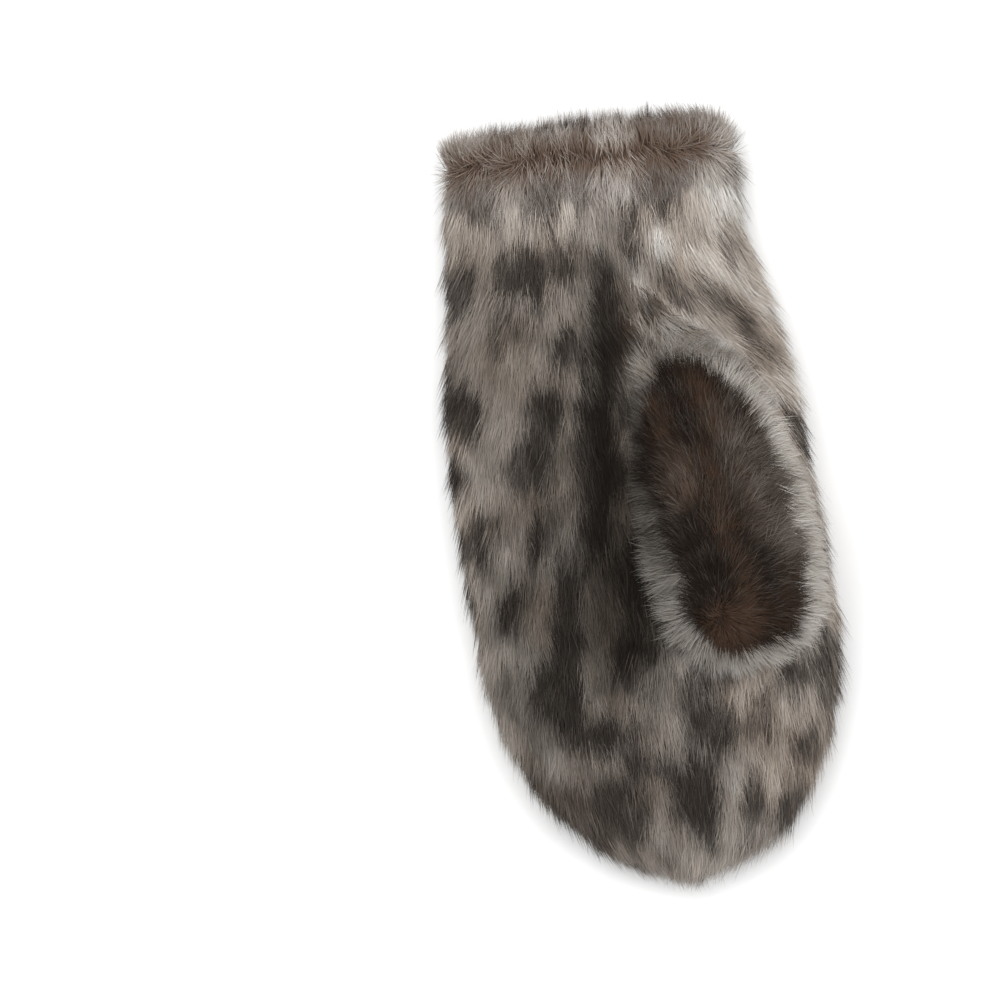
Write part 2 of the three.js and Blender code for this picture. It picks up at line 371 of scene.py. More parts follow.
# Where the fur is dark and pale, and where shade is painted on it
marks = {
    # Among the dark marks, the large strong ones down the palm's middle and just left of the thumb, from
    # about x -31 to 1 and y -50 to 63, are partly the coat's own patches and partly painted shade
    "dark": [  # x, y, half across, half along, turn in degrees, strength
        (20.5, 112, 8.5, 8.5, -6, 0.80),
        (7, 102, 5, 15, -6, 0.70),
        (9, 93, 2, 5, 4, 0.90),
        (40.5, 91, 3.5, 9.5, 0, 0.65),
        (32, 97, 2, 3, -6, 0.50),
        (17, 83, 4, 8, 14, 0.60),
        (22, 72, 4, 9, 29, 0.60),
        (34, 71, 4, 9, 40, 0.60),
        (44.5, 54.5, 4, 12, 38, 0.66),
        (10, 69, 6, 6, 24, 0.90),
        (-6.5, 63, 7, 24, -2, 0.95),
        (39, 58, 2, 4, 24, 0.40),
        (43, 45, 3, 5, 34, 0.60),
        (1, 34, 6, 9, -8, 0.85),
        (11, 51, 7, 5, -6, 0.75),
        (58, 19, 3, 12, 12, 0.85),
        (63, -19, 3, 9, -14, 0.50),
        (-13, 16, 9, 36, -8, 0.95),
        (-7, -26, 11, 18, -6, 0.80),
        (-31, -38, 5, 23, -10, 0.95),
        (-8, -50, 10, 7, -6, 0.90),
        (-38, -65, 9, 15, -14, 0.85),
        (-21, -79, 10, 7, 14, 0.90),
        (7, -69, 4, 8, 0, 0.80),
        (17, -81, 10, 8, 6, 0.88),
        (10, -94, 8, 6, 0, 0.80),
        (7, -105, 10, 14, 2, 0.90),
        (-1.5, -94, 7, 5, 40, 0.75),
        (-12, -88, 5, 10, 38, 0.80),
        (-11, -79, 6, 5, 10, 0.80),
        (-36, -103, 8, 11, -10, 0.55),
        (-22, -107, 15, 13, -6, 0.68),
        (-47, -92, 4, 5, 4, 0.55),
        (14, -123, 3, 5, 0, 0.80),
        (-5, -126, 4, 3, -6, 0.55),
        (-3, -60, 10, 9, -6, 0.60),
        (28, -108, 5, 9, -8, 0.75),
        (30, -119, 5, 8, -6, 0.58),
        (47, -92, 7, 8, -16, 0.68),
        (42, -110, 6, 10, -18, 0.72),
        (59, -59, 5, 10, -6, 0.70),
        (60, -76, 5, 8, -6, 0.62),
        (46, -67, 5, 10, -2, 0.70),
        (35, -79, 6.5, 9, -14, 0.70),
        (18, -62, 10, 6, -6, 0.70),
        (-17, -130, 5, 5, -6, 0.45),
        (6, -135, 4, 4, -6, 0.35),
        (-32, -114, 7, 10, 2, 0.60),
        (-30, -95, 4, 7, -6, 0.45),
    ],
    # The pale marks along the right flank, from x 58 to 66, are partly the coat's own pale edge and partly
    # painted light, where the flank catches more light
    "pale": [
        (18, 94, 3, 8, 2, 0.78),
        (8, 77, 3, 4, 14, 0.80),
        (42, 109, 9, 5, -6, 0.60),
        (44, 100, 5, 9, -6, 0.50),
        (19, 58, 9, 4, 54, 0.55),
        (-2, -84, 7, 11, -6, 0.12),
        (58, 40, 5, 13, 12, 1.10),
        (33, 86, 9, 9, 20, 0.35),
        (13, -137, 24, 6, -6, 0.45),
        (28, -59, 9, 2, -6, 0.25),
        (37, -99, 3, 11, -6, 0.35),
        (23, -101, 3, 15, -6, 0.30),
        (51, -106, 4, 11, -24, 0.35),
        (63, 5, 3, 22, 8, 0.45),
        (47, 109, 12, 15, -6, 1.25),
        (59, 76, 8, 26, 10, 1.15),
        (66, 40, 6, 22, 8, 1.05),
        (54, -104, 6, 15, -20, 0.75),
        (-41, -87, 8, 7, -6, 0.30),
        (-5, -72, 4, 9, -16, 0.20),
        (-5, -113, 3, 8, 6, 0.25),
    ],
    "paleLines": [  # from x, y to x, y, half width, strength: the long hair along the seams
        (4, 89, 11, 82, 3.0, 0.50),
        (11, 82, 18, 72, 2.4, 0.75),
        (18, 72, 25, 63, 2.4, 0.80),
        (25, 63, 35, 53, 2.6, 0.85),
        (35, 53, 44, 42, 3.0, 0.70),
        (44, 42, 52, 33, 3.0, 0.75),
        (28, 89, 36, 81, 4.0, 0.60),
        (36, 81, 46, 73, 4.0, 0.60),
        (46, 73, 53, 62, 4.0, 0.60),
        (53, 62, 60, 47, 3.5, 0.50),
        (3, 71, 8, 62, 2.0, 0.70),
        (8, 62, 11, 55, 2.0, 0.60),
    ],
    "shade": [  # painted shade: where the whole coat is darker because shade falls there, in the same columns as dark
        (-12, -84, 44, 41, -6, 0.55),
        (-31, -14, 25, 88, -8, 0.76),
        (-8, -18, 19, 52, -6, 0.96),
        (-8.5, 72, 14.5, 36, -6, 0.70),
        (-36, 60, 34, 44, 0, 0.55),
        (16, 60, 16, 9, -30, 0.40),
        (1, 37, 8, 13, -10, 0.75),
        (9, 88, 10, 16, -6, 0.35),
        (30, 76, 10, 17, 25, 0.25),
        (42, -76, 24, 18, -6, 0.14),
    ],
    "paintedShadeLines": [  # painted shadow along lines, in the same columns as paleLines
        (-8, 66, -12, 13, 12.0, 1.00),
        (-12, 13, -22, -40, 15.0, 1.00),
    ],
    "brown": [  # where the coat is warmer, in the same columns as dark
        (-1, 60, 4, 18, -8, 0.60),
        (-6, 22, 4, 12, -8, 0.45),
        (-16, -42, 5, 10, -6, 0.40),
        (48, 60, 4, 12, 30, 0.30),
        (45, 93, 4, 8, 0, 0.35),
        (40, -90, 7, 10, -10, 0.25),
        (-36, -102, 10, 14, 0, 0.25),
    ],
    "upstream": 5.0,  # the fur lies this far past its roots, so the marks are read there
    "chartedEdge": ((-80, -61), (-17, -38), (40, -19), (111, -6)),  # y, x: left of it the marks are scattered
    # The back's coat is a little darker as its own colour; towards the thumb's side edge this fades out,
    # which is painted light on that flank
    "backShade": 0.22,
}
leans = [  # x, y, reach, degrees that the fur leans towards the thumb's side
    (37, 66, 18, 34),
    (52, 39, 18, 26),
    (32, 85, 16, 20),
    (20, 109, 14, 2),
    (2, 63, 16, 20),
    (-10, 39, 14, 6),
    (59, 5, 14, 10),
    (46, 95, 14, 14),
]


def wobble(x, y, seed):
    # Slow unevenness between about -1 and 1
    draw = np.random.default_rng(seed)
    total = np.zeros_like(x)
    for k in range(7):
        turn = draw.uniform(0, 2 * math.pi)
        wave = draw.uniform(0.12, 0.75)
        total += np.sin((x * math.cos(turn) + 0.55 * y * math.sin(turn)) * wave + draw.uniform(0, 6.3))
    return total / 3.0


def patchShare(x, y, rows, edge, seed):
    # 1 inside the patches, 0 outside, with soft uneven edges
    best = np.zeros_like(x)
    uneven = wobble(x, y, seed) * 0.22
    for px, py, across, along, turn, strength in rows:
        c, s = math.cos(math.radians(turn)), math.sin(math.radians(turn))
        dx, dy = x - px, y - py
        away = np.hypot((dx * c + dy * s) / across, (-dx * s + dy * c) / along) + uneven
        t = np.clip((1 + edge - away) / (2 * edge), 0, 1)
        best = np.maximum(best, strength * t * t * (3 - 2 * t))
    return best


def lineShare(x, y, rows):
    best = np.zeros_like(x)
    for *line, wide, strength in rows:
        best = np.maximum(best, strength * bell(np.hypot(*fromLine(x, y, *line)), wide))
    return best


def scatteredPatches(seed, stepX, stepY):
    # A loose grid of uneven ovals, longer along the fur, in the same columns as the dark marks
    draw = np.random.default_rng(seed)
    rows = []
    for j, y in enumerate(np.arange(-150, 150, stepY)):
        for x in np.arange(-75, 76, stepX):
            rows.append(
                (
                    x + (j % 2) * stepX / 2 + draw.normal(0, stepX * 0.17),
                    y + draw.normal(0, stepY * 0.17),
                    draw.uniform(0.30, 0.43) * stepX,
                    draw.uniform(0.33, 0.52) * stepY,
                    draw.normal(-4, 16),
                    draw.uniform(0.55, 1.0),
                )
            )
    return rows


backPatches = scatteredPatches(11, 21.0, 24.0)


def toneOf(x, y, side):
    # -1 is the palest fur, 0 the ground colour, 1 the darkest
    if side == "palm":
        x = x + marks["upstream"] * np.tan(np.radians(leanAt(x, y)))
    y = y - marks["upstream"]
    scattered = patchShare(x, y, backPatches, 0.34, 5)
    charted = patchShare(x, y, marks["dark"], 0.40, 3)
    pale = np.maximum(patchShare(x, y, marks["pale"], 0.5, 4), lineShare(x, y, marks["paleLines"]))
    charted = charted - pale * (1 - charted)
    if side == "back":
        # the palm's marks run on round the thumb's side
        scattered = scattered - 0.25 * np.clip(wobble(x, y, 9), 0, 1)
        share = ramp(acrossShare(x, y), 0.78, 0.92)
    else:
        edgeY, edgeX = zip(*marks["chartedEdge"])
        share = np.clip((x - np.interp(y, edgeY, edgeX)) / 10 + 0.5, 0, 1)
    return charted * share + scattered * (1 - share)


def shadeOf(x, y, side):
    # Painted shade on the palm: 0 leaves the coat as light as it is, 1 makes it darkest. On the back it is
    # the back's darker coat, with painted light at the thumb's side edge
    if side == "back":
        return marks["backShade"] * ramp(acrossShare(x, y), 0.95, 0.75)
    wide = patchShare(x, y, marks["shade"], 0.42, 14)
    return np.clip(np.maximum(wide, lineShare(x, y, marks["paintedShadeLines"])), 0, 1)


# Skins that the fur stands on
def makeSkin(name, places, closed, values):
    # A grid of points becomes a mesh. closed joins the last column to the first
    rows, columns = places.shape[:2]
    faces = []
    for r in range(rows - 1):
        for c in range(columns if closed else columns - 1):
            d = (c + 1) % columns
            faces.append((r * columns + c, r * columns + d, (r + 1) * columns + d, (r + 1) * columns + c))
    mesh = bpy.data.meshes.new(name)
    mesh.from_pydata((places.reshape(-1, 3) * mm).tolist(), [], faces)
    for key, data in values.items():
        data = np.asarray(data, np.float32)
        vector = data.shape[-1] == 3 and data.ndim == 3
        layer = mesh.attributes.new(key, "FLOAT_VECTOR" if vector else "FLOAT", "POINT")
        layer.data.foreach_set("vector" if vector else "value", data.reshape(-1))
    piece = bpy.data.objects.new(name, mesh)
    scene.collection.objects.link(piece)
    return piece


def keepFaces(piece, keep):
    work = bmesh.new()
    work.from_mesh(piece.data)
    work.faces.ensure_lookup_table()
    bmesh.ops.delete(work, geom=[work.faces[i] for i in np.nonzero(~keep)[0]], context="FACES")
    work.to_mesh(piece.data)
    work.free()


def gridNormals(places, closed):
    # Outward unit normals of a grid whose columns run anticlockwise seen from its start
    if closed:
        across = np.roll(places, -1, 1) - np.roll(places, 1, 1)
    else:
        across = np.gradient(places, axis=1)
    return unit(np.cross(across, np.gradient(places, axis=0)))


def leanAt(x, y):
    total, weight = np.zeros_like(x), np.zeros_like(x)
    for px, py, reach, degrees in leans:
        w = np.exp(-(((x - px) / reach) ** 2 + ((y - py) / reach) ** 2))
        total += w * degrees
        weight += w
    return total / np.maximum(weight, 1)


def handCombed(places, side):
    # The fur runs from the cuff to the fingertips, partly along the form
    along = unit(np.gradient(places, axis=0))
    straight = unit(np.array([-0.05, -1, -0.12 if side == "palm" else 0.0]))
    combed = unit(0.5 * along + 0.5 * straight)
    if side == "palm":
        lean = np.radians(leanAt(places[..., 0], places[..., 1]))
        c, s = np.cos(lean), np.sin(lean)
        x, y = combed[..., 0].copy(), combed[..., 1].copy()
        combed[..., 0], combed[..., 1] = x * c - y * s, x * s + y * c
    return combed


def overlap(x, y, z):
    # How deep a point is inside the thumb's outer form, 0 outside and 1 at its middle
    centre, middle, halfWidth, halfHeight = smoothTable(thumb["rows"], y)
    away = np.hypot((x - centre) / halfWidth, (z - middle) / halfHeight)
    return np.where((y > thumb["tipY"]) & (y < thumb["startY"]), np.clip(1 - away, 0, 1), 0)


def makeHandSkins():
    skins = {}
    fullX, fullY, fullAcross, fullAlong = hand["fuller"]
    for side, first, last in (("palm", 0, math.pi), ("back", math.pi, 2 * math.pi)):
        angles = np.linspace(first, last, 64)
        for part in ("wrist", "fingers"):
            if part == "wrist":
                y = np.linspace(cuff["startY"], hand["splitY"], 50)
            else:
                tip = hand["tipY"] + hand["furDepthTip"] + tipGap
                y = towardsTip(hand["noseY"], tip, hand["splitY"], 34, 2.6)
            places = handPlaces(y, angles, hand["furDepth"], hand["furDepthTip"], hand["furDepthUnder"])
            x, yy, z = np.moveaxis(places, -1, 0)
            if side == "palm":
                under = (yy < 30) & (yy > -50) & (np.abs(x - 30) < 20)
                cover = np.where(under, hand["underThumb"], 1.0)
                cover = np.where(overlap(x, yy, z + 4) > 0.35, hand["insideThumb"], cover)
            else:
                cover = np.where(z < hand["furDepthUnder"] + 0.3, hand["seatCover"], 1.0)
            fuller = np.exp(-(((x - fullX) / fullAcross) ** 2) - ((yy - fullY) / fullAlong) ** 2)
            brown = patchShare(x, yy - marks["upstream"], marks["brown"], 0.6, 18)
            values = {
                "outward": gridNormals(places, False),
                "combed": handCombed(places, side),
                "tone": toneOf(x, yy, side),
                "shade": shadeOf(x, yy, side),
                "warm": brown * (side == "palm"),
                "cover": cover,
                "furLength": hand["furLength"] + hand["fullerLength"] * fuller,
                "lift": hand["furLift"] + hand["fullerLift"] * fuller,
            }
            skins[side, part] = makeSkin(f"{side}_skin_{part}", places, False, values)
    return skins


def makeCuffSkin():
    # Rows run from inside the cuff, over the fold and down its outside
    angles = np.linspace(0, 2 * math.pi, 128, endpoint=False)
    inset, wall, cornerX = cuff["furDepth"], cuff["wall"], cuff["cornerX"]
    turnY = cuff["foldY"] - wall / 2
    inside = [(y, inset + wall) for y in np.linspace(cuff["insideY"], turnY, 10)]
    over = []
    for turn in np.linspace(math.pi, 0, 11)[1:-1]:
        over.append((turnY + wall / 2 * math.sin(turn), inset + wall / 2 * (1 - math.cos(turn))))
    outside = [(y, inset) for y in np.linspace(turnY, cuff["startY"], 10)]
    steps = inside + over + outside
    rings = []
    for y, depth in steps:
        rings.append(handPlaces([y], angles, depth, 0, hand["furDepthUnder"] + depth - inset)[0])
    places = np.array(rings)
    up = np.sin(angles)[None, :]
    x = places[..., 0]
    # the back's edge reaches a little further than the palm's, and the corner by the thumb's side is lower
    further = 2.5 * np.clip(-up, 0, 1) - 1.5 * np.clip(up, 0, 1)
    further = further - 0.022 * np.clip(x - cornerX, 0, 40) ** 2
    places[..., 1] += further * ramp(places[..., 1], cuff["startY"], cuff["foldY"])
    x, y, z = np.moveaxis(places, -1, 0)

    row = np.arange(len(steps))[:, None] + 0 * x
    inner = row < len(inside)
    outer = ~inner
    partingY = cuff["partingY"] - cuff["partingDrop"] * np.clip(x, 0, 60) + 1.6 * wobble(x, 0 * x, 21)
    fromParting = y - partingY
    below = np.clip(-fromParting / 2.4, -1, 1)  # 1 below the parting, -1 above it
    below = np.where(inner | (row < len(steps) - len(outside)), -1.0, below)
    outward = gridNormals(places, True)
    forward = unit(np.gradient(places, axis=0))  # towards the fingers on the outside
    combed = forward * below[..., None] + np.array([0.0, 0.35, 0.0]) * (below < 0)[..., None]
    fan = 0.25 * ramp(x, 20, 50) - 0.12 * ramp(x, -20, -50)
    combed[..., 0] += fan * (up > 0)
    nearParting = bell(fromParting, cuff["partingReach"]) * outer
    further, bulgeX, bulgeWidth = cuff["brownBulge"]
    brown = bell(fromParting, cuff["brownReach"] + further * bell(x - bulgeX, bulgeWidth)) * outer
    flank = np.clip(np.abs(x) / 50 - 0.6, 0, 0.4) / 0.4
    liftBelow, liftAbove, liftInside = cuff["furLift"]
    liftBelow = liftBelow + cuff["partingLift"] * nearParting
    lift = np.where(below > 0, liftBelow, np.where(inner, liftInside, liftAbove)) * (1 - 0.35 * flank)
    lift = lift + cuff["cornerLift"] * ramp(x, cornerX, cornerX + 10) * outer * bell(fromParting, 7)
    lengthBelow, lengthAbove, lengthInside = cuff["furLength"]
    spot = patchShare(x, y, cuff["spots"], 0.5, 8)
    tone = np.where(up > 0, toneOf(x, y, "palm"), toneOf(x, y, "back"))
    # painted shade from the palm's map and the back's darker coat, kept only on the fur below the parting
    shade = np.where(up > 0, shadeOf(x, y, "palm"), shadeOf(x, y, "back"))
    values = {
        "outward": outward,
        "combed": unit(combed),
        "tone": np.where(below > 0, np.maximum(tone, 0.5 * spot * nearParting), 0.1 + 0.75 * spot),
        "shade": shade * (below > 0),
        "cover": np.where(inner, 0.5, 1.0 + 0.5 * nearParting),
        "furLength": np.where(below > 0, lengthBelow, np.where(inner, lengthInside, lengthAbove)),
        "lift": lift,
        "warm": np.where(below > 0, brown, 1.0) * np.where(x > cornerX, 0.5, 1.0),
        "upShare": np.where(below < 0, np.clip(0.9 * (0.5 - outward[..., 2]), 0, 0.9), 0.0),
    }
    return makeSkin("cuff_skin", places, True, values)


def ovalShare(x, y):
    # Distance from the oval's middle: 1 on its edge, with its own two directions
    turn = math.radians(thumb["ovalTurn"])
    dx, dy = x - thumb["ovalMiddle"][0], y - thumb["ovalMiddle"][1]
    p = (dx * math.cos(turn) + dy * math.sin(turn)) / thumb["ovalRadius"][0]
    q = (-dx * math.sin(turn) + dy * math.cos(turn)) / thumb["ovalRadius"][1]
    power = thumb["ovalPower"]
    return (np.abs(p) ** power + np.abs(q) ** power) ** (1 / power), p, q


def ovalLook(x, y, p, q):
    # Warm streaks and tone of the dark oval: its outer half is silvery, except at the two ends
    streak = np.zeros_like(x)
    for at, low, high, wide, strength in thumb["streaks"]:
        past = np.maximum(np.maximum(low - q, q - high), 0)
        bent = p - at - 0.08 * np.sin(4 * q)
        streak = np.maximum(streak, strength * bell(bent, wide) * bell(past, 0.12))
    streak = np.maximum(streak, patchShare(p, q, thumb["lowStreaks"], 0.5, 6))
    silvery = ramp(p, 0.05, 0.55) * ramp(q, -0.85, -0.50) * ramp(q, 0.85, 0.45)
    lightSpot = patchShare(x, y, [thumb["lightSpot"]], 0.7, 12)
    tone = 0.86 + 0.32 * wobble(x, y, 35) - 1.22 * silvery - 1.1 * lightSpot
    return np.maximum(streak, 0.6 * lightSpot), tone


def fringeLook(x, y, p, q, nearWrist):
    # Tone and painted shade of the light fur round it: painted shade on the palm's side, along its lower
    # side, over its upper part and by the wrist, with a darker tone on the palm's side that is painted shade
    # too; by the wrist it takes the palm's tone
    leftSide, lowSide = np.clip(-p, 0, 1), np.clip(-q, 0, 1) * (1 - np.clip(p, 0, 1))
    shade = np.clip(0.05 + 0.88 * leftSide * np.clip(0.85 + 0.6 * q, 0, 1), 0, 0.95)
    shade = shade + 0.30 * ramp(q, 0.3, 0.7) * np.clip(1.3 - np.abs(p), 0, 1)
    shade = np.clip(shade + 0.20 * lowSide, 0, 0.95)
    paintedShadeDim = 0.55 * leftSide * (1 - lowSide)
    tone = (paintedShadeDim - 0.25 + 0.35 * wobble(x * 2.2, y * 2.2, 33)) * (1 - nearWrist)
    tone = tone + (toneOf(x, y, "palm") + 0.1) * nearWrist
    return tone, shade * (1 - nearWrist) + 0.40 * nearWrist


def makeThumbSkins():
    angles = np.linspace(0, 2 * math.pi, 96, endpoint=False)
    tip = thumb["tipY"] + thumb["furDepthTip"] + tipGap
    y = towardsTip(thumb["noseY"], tip, 76, 22, 2.2)
    places = thumbPlaces(y, angles, thumb["furDepth"], thumb["furDepthTip"])
    x, yy, z = np.moveaxis(places, -1, 0)
    reach, p, q = ovalShare(x, yy)
    middle = smoothTable(thumb["rows"], y)[1][:, None]
    lowX, lowY = thumb["whorl"]
    radiusX, radiusY = thumb["whorlRadius"]
    fromWhorl = np.hypot((x - lowX) / radiusX, (yy - lowY - 1.5) / radiusY)
    fromLowEnd = np.hypot(x - thumb["lowEnd"][0], yy - thumb["lowEnd"][1]) / thumb["lowEndRadius"]
    reach = np.minimum(reach, np.minimum(fromWhorl, fromLowEnd))
    onTop = (z > middle - 2.0) & (reach < 1.0)

    # on the dark oval the fur fans out from its middle line, and up past the line's lower end
    lineX, lineY = fromLine(x, yy, lowX, lowY, *thumb["lineTop"])
    fanned = np.stack([lineX, lineY + 8.0 * ramp(yy, lowY - 4, lowY + 8), 0 * x], -1)
    fanned[..., 0] += 1.2 * wobble(yy, x, 31)
    # round it the fur points away from the oval, and further off runs down along the outer side
    around = unit(np.stack([lineX, lineY - 3.0, 0 * x], -1))
    outerSide = 0.65 * (np.clip(p, 0, 1) * ramp(reach, 1.05, 1.55))[..., None]
    around = around * (1 - outerSide) + np.array([0.35, -0.9, 0]) * outerSide
    around[..., 2] -= 0.6 * ramp(z, middle + 8, middle)
    wristSide = ramp(yy, 42, 56)[..., None]
    around = around * (1 - wristSide) + np.array([0.5, -0.85, 0]) * wristSide

    streak, ovalTone = ovalLook(x, yy, p, q)
    nearWrist = ramp(yy, 33, 42)
    fringeTone, fringePaintedShade = fringeLook(x, yy, p, q, nearWrist)
    atWhorl = bell(np.hypot(x - lowX, yy - lowY), thumb["whorlReach"])
    sunk = z < palmTop(x, yy) - 5.0
    shared = {"outward": gridNormals(places, True), "cover": np.where(sunk, 0.04, 1.0)}
    oval = {
        "combed": unit(fanned),
        "furLength": thumb["ovalLength"] - thumb["whorlShorter"] * atWhorl,
        "lift": thumb["ovalLift"] + thumb["whorlLift"] * atWhorl,
        "warm": streak,
        "tone": ovalTone,
        # painted shade on the palm's side of the dark oval, stronger towards its upper end
        "shade": 0.5 * np.clip(-p, 0, 1) * np.clip(q + 0.6, 0, 1),
    }
    fringe = {
        "combed": unit(around),
        "furLength": thumb["fringeLength"] + 0 * x,
        "lift": thumb["fringeLift"] + 0 * x,
        "warm": 0.45 * nearWrist,
        "tone": fringeTone,
        "shade": fringePaintedShade,
    }
    skins = {}
    for name, own in (("front", oval), ("sides", fringe)):
        skin = makeSkin(f"thumb_skin_{name}", places, True, {**shared, **own})
        corner = np.empty(len(skin.data.loops), np.int32)
        skin.data.loops.foreach_get("vertex_index", corner)
        inOval = onTop.reshape(-1)[corner].reshape(-1, 4).mean(1) >= 0.5
        keepFaces(skin, inOval if name == "front" else ~inOval)
        skins[name] = skin
    return skins


handSkins = makeHandSkins()
cuffSkin = makeCuffSkin()
thumbSkins = makeThumbSkins()
print("skins made")

# Materials
# shadeColor is what each coat is multiplied by where shade is painted on it, and on the back for its darker
# coat
coats = {
    "spotted": {
        "root": (0.050, 0.038, 0.031),
        "dark": (0.060, 0.048, 0.040),
        "ground": (0.42, 0.345, 0.285),
        "pale": (0.76, 0.735, 0.695),
        "tip": (0.60, 0.57, 0.53),
        "warmColor": (0.17, 0.11, 0.075),
        "shadeColor": (0.14, 0.132, 0.122),
        "silver": 1.0,
        "uneven": 1.0,
        "rootReach": 0.55,
    },
    "cuff": {
        "root": (0.060, 0.042, 0.032),
        "dark": (0.085, 0.062, 0.049),
        "ground": (0.40, 0.335, 0.285),
        "pale": (0.74, 0.715, 0.675),
        "tip": (0.68, 0.66, 0.63),
        "warmColor": (0.15, 0.10, 0.072),
        "shadeColor": (0.14, 0.132, 0.122),
        "silver": 1.5,
        "uneven": 1.0,
        "rootReach": 0.55,
    },
    "fringe": {
        "root": (0.11, 0.09, 0.075),
        "dark": (0.07, 0.056, 0.047),
        "ground": (0.39, 0.345, 0.30),
        "pale": (0.55, 0.53, 0.49),
        "tip": (0.68, 0.66, 0.63),
        "warmColor": (0.25, 0.18, 0.13),
        "shadeColor": (0.13, 0.125, 0.118),
        "silver": 1.3,
        "uneven": 1.2,
        "rootReach": 0.65,
    },
    "dark": {
        "root": (0.010, 0.006, 0.004),
        "dark": (0.010, 0.006, 0.004),
        "ground": (0.018, 0.010, 0.0065),
        "pale": (0.138, 0.115, 0.099),
        "tip": (0.31, 0.275, 0.245),
        "warmColor": (0.125, 0.070, 0.044),
        "shadeColor": (0.5, 0.5, 0.5),
        "silver": 1.0,
        "uneven": 1.4,
        "rootReach": 0.8,
    },
}
# the coat group's sockets, each with the strand attribute or the coat's value that goes in
coatReads = (("Tone", "tone"), ("Along", "along"), ("Chance", "chance"), ("Warm", "warm"), ("Shade", "shade"))
coatAmounts = (("Silver", "silver"), ("Uneven", "uneven"), ("Root Reach", "rootReach"))
coatColors = (
    ("Root", "root"),
    ("Dark", "dark"),
    ("Ground", "ground"),
    ("Pale", "pale"),
    ("Tip", "tip"),
    ("Warm Color", "warmColor"),
    ("Shade Color", "shadeColor"),
)
suede = {"dark": (0.075, 0.052, 0.040), "light": (0.12, 0.085, 0.065), "mottle": 60.0, "nap": 900.0}


def rgba(color):
    return (*color, 1.0)


def mixColor(tree, share, first, second, blend="MIX"):
    node = addNode(tree, "ShaderNodeMix", data_type="RGBA", blend_type=blend)
    feed(tree, node.inputs[0], share)
    feed(tree, node.inputs[6], first)
    feed(tree, node.inputs[7], second)
    return node.outputs[2]


def noiseOf(tree, place, scale, detail):
    return addNode(tree, "ShaderNodeTexNoise", {"Vector": place, "Scale": scale, "Detail": detail}).outputs[0]


def makeCoatGroup():
    # Colour along a strand from its root to its tip, for a place on the mitten
    group = bpy.data.node_groups.new("fur_coat", "ShaderNodeTree")
    for kind, sockets in (
        ("NodeSocketFloat", coatReads + coatAmounts),
        ("NodeSocketVector", (("Place", "rootPlace"),)),
        ("NodeSocketColor", coatColors),
    ):
        for name, _ in sockets:
            group.interface.new_socket(name, in_out="INPUT", socket_type=kind)
    group.interface.new_socket("Color", in_out="OUTPUT", socket_type="NodeSocketColor")
    into = group.nodes.new("NodeGroupInput").outputs
    along, chance, place = into["Along"], into["Chance"], into["Place"]

    # tone with fine unevenness, streaks along the fur and a chance for each strand
    fine = noiseOf(group, place, 260.0, 2.0)
    stretched = addNode(group, "ShaderNodeMapping", {"Vector": place, "Scale": (170.0, 75.0, 170.0)})
    streaks = noiseOf(group, stretched.outputs[0], 1.0, 3.0)
    slow = noiseOf(group, place, 32.0, 2.0)
    uneven = mathOf(
        group,
        "ADD",
        rangeOf(group, fine, 0.2, 0.8, -0.20, 0.20, False),
        rangeOf(group, streaks, 0.2, 0.8, -0.50, 0.50, False),
    )
    uneven = mathOf(group, "ADD", uneven, rangeOf(group, chance, 0.0, 1.0, -0.24, 0.24, False))
    tone = mathOf(group, "MULTIPLY_ADD", uneven, into["Uneven"], into["Tone"])
    darkShare = rangeOf(group, tone, 0.0, 0.80)
    paleShare = rangeOf(group, mathOf(group, "MULTIPLY", tone, -1.0), 0.0, 0.95)
    ground = mixColor(group, rangeOf(group, slow, 0.35, 0.65, 0.0, 0.32), into["Ground"], into["Pale"])
    ground = mixColor(group, paleShare, ground, into["Pale"])
    hair = mixColor(group, darkShare, ground, into["Dark"])
    warmShare = mathOf(group, "MULTIPLY", into["Warm"], rangeOf(group, along, 0.35, 0.95, 1.0, 0.2))
    hair = mixColor(group, warmShare, hair, into["Warm Color"])

    # dark roots, and tips that are dark on a few strands and silver on others
    hair = mixColor(group, rangeOf(group, along, 0.0, into["Root Reach"], 0.85, 0.0), hair, into["Root"])
    nearTip = rangeOf(group, along, 0.45, 1.0)
    darkTip = mathOf(group, "MULTIPLY", nearTip, rangeOf(group, chance, 0.0, 0.25, 0.55, 0.0))
    hair = mixColor(group, darkTip, hair, into["Dark"])
    silver = mathOf(group, "MULTIPLY", rangeOf(group, chance, 0.76, 1.0, 0.06, 0.60), into["Silver"])
    silver = mathOf(group, "MULTIPLY_ADD", into["Silver"], 0.5, mathOf(group, "SUBTRACT", silver, 0.5))
    silver = mathOf(group, "MULTIPLY", silver, rangeOf(group, darkShare, 0.0, 1.0, 1.0, 0.45))
    hair = mixColor(group, mathOf(group, "MULTIPLY", nearTip, silver), hair, into["Tip"])
    # painted shade, and on the back its darker coat: the hair is multiplied by Shade Color as far as the
    # strand's shade says
    shaded = mixColor(group, 1.0, hair, into["Shade Color"], "MULTIPLY")
    hair = mixColor(group, into["Shade"], hair, shaded)
    out = group.nodes.new("NodeGroupOutput")
    group.links.new(hair, out.inputs["Color"])
    return group


def attributeOf(tree, name, output):
    return addNode(tree, "ShaderNodeAttribute", attribute_name=name).outputs[output]


def newMaterial(name, roughness, gloss):
    finish = bpy.data.materials.new(name)
    finish.use_nodes = True
    shader = finish.node_tree.nodes["Principled BSDF"]
    shader.inputs["Roughness"].default_value = roughness
    shader.inputs["Specular IOR Level"].default_value = gloss
    return finish, finish.node_tree, shader


